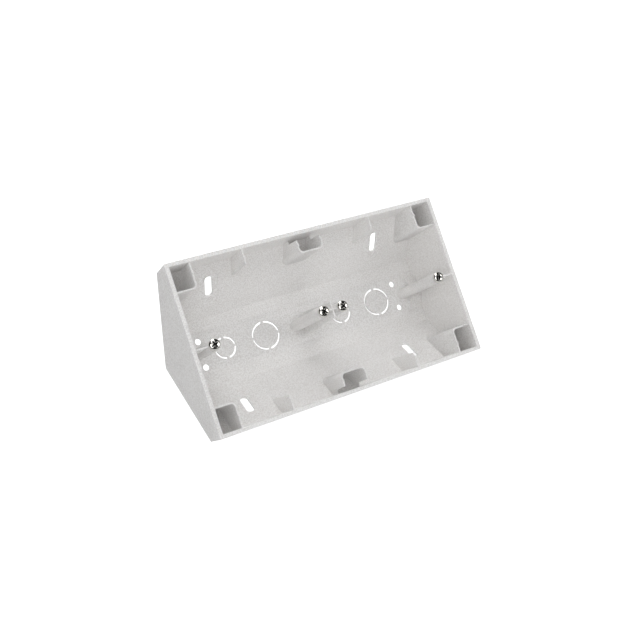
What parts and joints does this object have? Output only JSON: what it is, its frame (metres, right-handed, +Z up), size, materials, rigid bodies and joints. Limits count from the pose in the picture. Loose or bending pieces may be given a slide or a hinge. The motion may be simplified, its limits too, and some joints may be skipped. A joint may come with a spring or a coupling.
{
  "type": "surface corner box",
  "caption": "Slant-fronted surface box that sits in a corner between wall and worktop and holds wiring devices, with knockouts, slotted fixing holes and device screws.",
  "frame": {"origin": "centre of the footprint on the plane the base leg rests on", "axes": "+X along the box to the right seen from its open front, +Y towards the wall that the back leg lies on, +Z up from the surface that the base leg lies on; the open front faces between -Y and +Z"},
  "size_m": [0.154, 0.0754, 0.0753],
  "materials": {
    "moulded_plastic": "light grey, finely grained moulding",
    "plated_steel": "bright nickel plate"
  },
  "bodies": {
    "root": {"corner_box": "moulded_plastic", "screw_left_outer": "plated_steel", "screw_left_inner": "plated_steel", "screw_right_inner": "plated_steel", "screw_right_outer": "plated_steel"}
  },
  "joints": []
}
